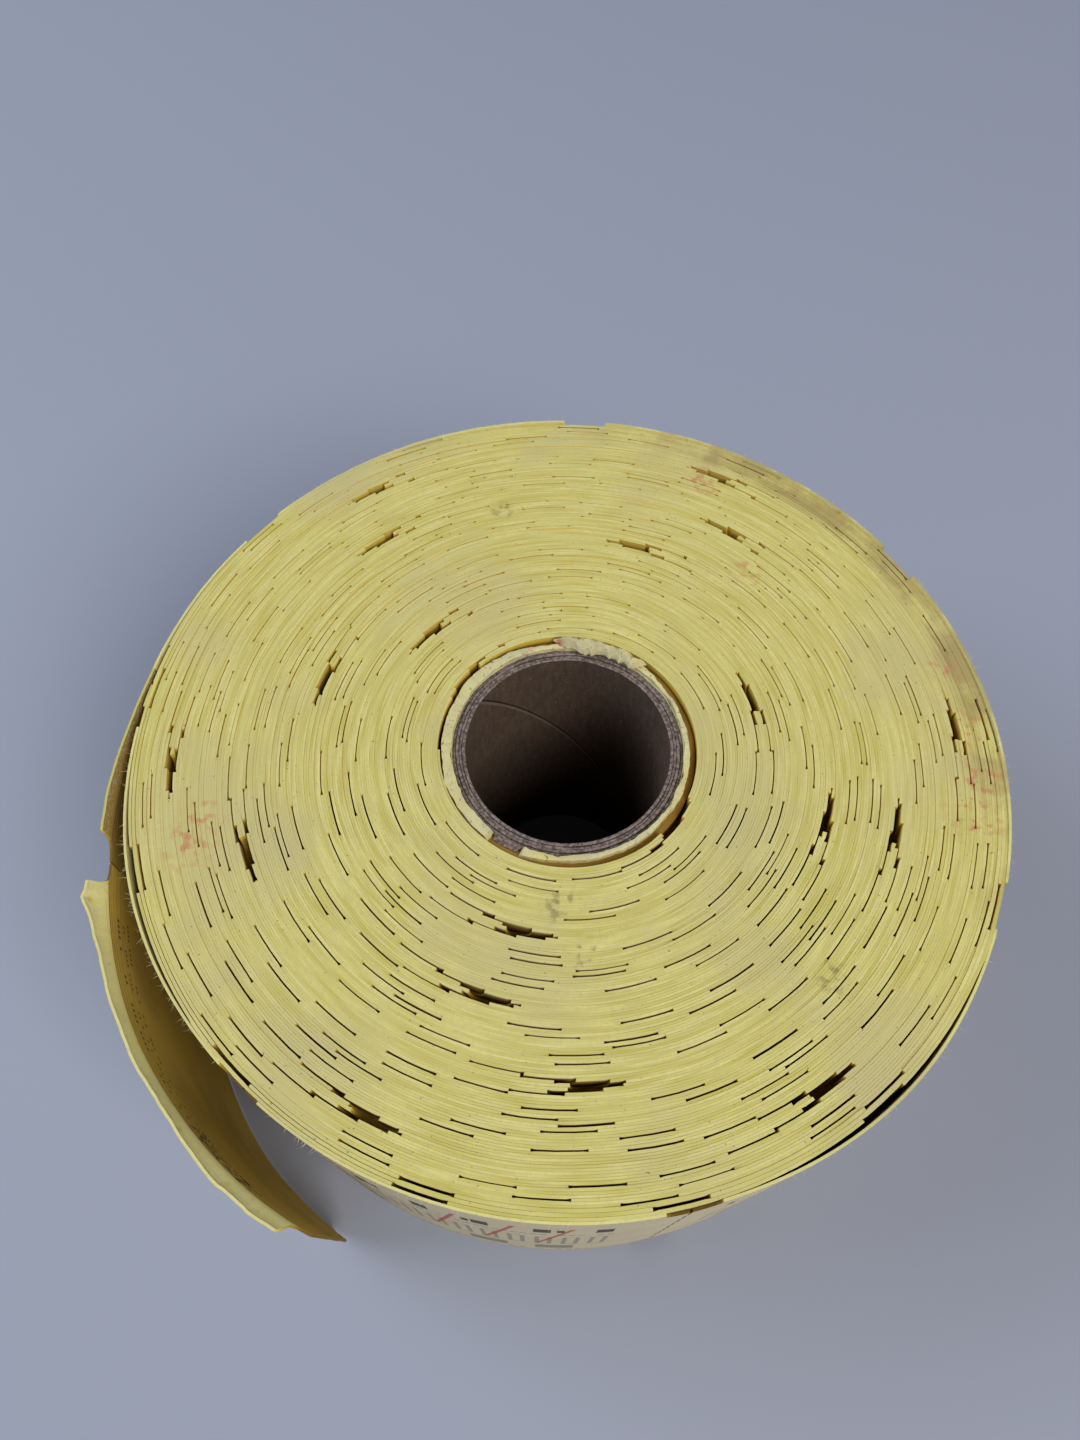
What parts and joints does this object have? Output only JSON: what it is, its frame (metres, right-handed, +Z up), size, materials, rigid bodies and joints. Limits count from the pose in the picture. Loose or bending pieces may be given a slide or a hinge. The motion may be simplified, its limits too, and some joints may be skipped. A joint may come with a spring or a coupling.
{
  "type": "paper ticket roll",
  "caption": "Roll of perforated, edge-notched card tickets wound on a cardboard core and standing on its end, with the torn free end peeled off the side",
  "frame": {"origin": "on the axis of the core's bore, at the lower end of the roll", "axes": "+Z runs up the core's axis; +X is to the right and +Y away as the roll is seen from the front, with the peeled end at -X"},
  "size_m": [0.1094, 0.1104, 0.0528],
  "materials": {
    "core_ply_inner": "matte",
    "core_ply_second": "matte",
    "core_ply_third": "matte",
    "core_ply_outer": "matte",
    "core_glue_stripe": "matte",
    "starter_collar": "matte card",
    "starter_flap": "matte card",
    "tickets_001_100": "matte card",
    "tickets_101_200": "matte card",
    "tickets_201_300": "matte card",
    "tickets_301_400": "matte card",
    "tickets_401_500": "matte card",
    "tickets_last_turns": "matte card",
    "outer_ticket_1": "matte card",
    "outer_ticket_2": "matte card",
    "outer_ticket_3": "matte card",
    "outer_ticket_4": "matte card",
    "outer_ticket_5": "matte card",
    "outer_ticket_6": "matte card",
    "outer_ticket_part": "matte card",
    "peeled_ticket": "matte card",
    "end_ticket": "matte card"
  },
  "bodies": {
    "roll": {"core_ply_inner": "core_ply_inner", "core_ply_second": "core_ply_second", "core_ply_third": "core_ply_third", "core_ply_outer": "core_ply_outer", "core_glue_stripe": "core_glue_stripe", "starter_collar": "starter_collar", "starter_flap": "starter_flap", "tickets_001_100": "tickets_001_100", "tickets_101_200": "tickets_101_200", "tickets_201_300": "tickets_201_300", "tickets_301_400": "tickets_301_400", "tickets_401_500": "tickets_401_500", "tickets_last_turns": "tickets_last_turns", "outer_ticket_1": "outer_ticket_1", "outer_ticket_2": "outer_ticket_2", "outer_ticket_3": "outer_ticket_3", "outer_ticket_4": "outer_ticket_4", "outer_ticket_5": "outer_ticket_5", "outer_ticket_6": "outer_ticket_6", "outer_ticket_part": "outer_ticket_part"},
    "peeled_end": {"peeled_ticket": "peeled_ticket"},
    "loose_end": {"end_ticket": "end_ticket"}
  },
  "joints": [
    {"name": "peel_line", "type": "hinge", "parent": "roll", "child": "peeled_end", "pos_m": [-0.05298, 0.0103, 0.0252], "axis": [0, 0, -1], "range_deg": [-3, 60], "stiffness_Nm_per_rad": 0.02},
    {"name": "end_perforation", "type": "hinge", "parent": "peeled_end", "child": "loose_end", "pos_m": [-0.05452, -0.01509, 0.0252], "axis": [0, 0, -1], "range_deg": [-2, 120], "stiffness_Nm_per_rad": 0.004}
  ]
}
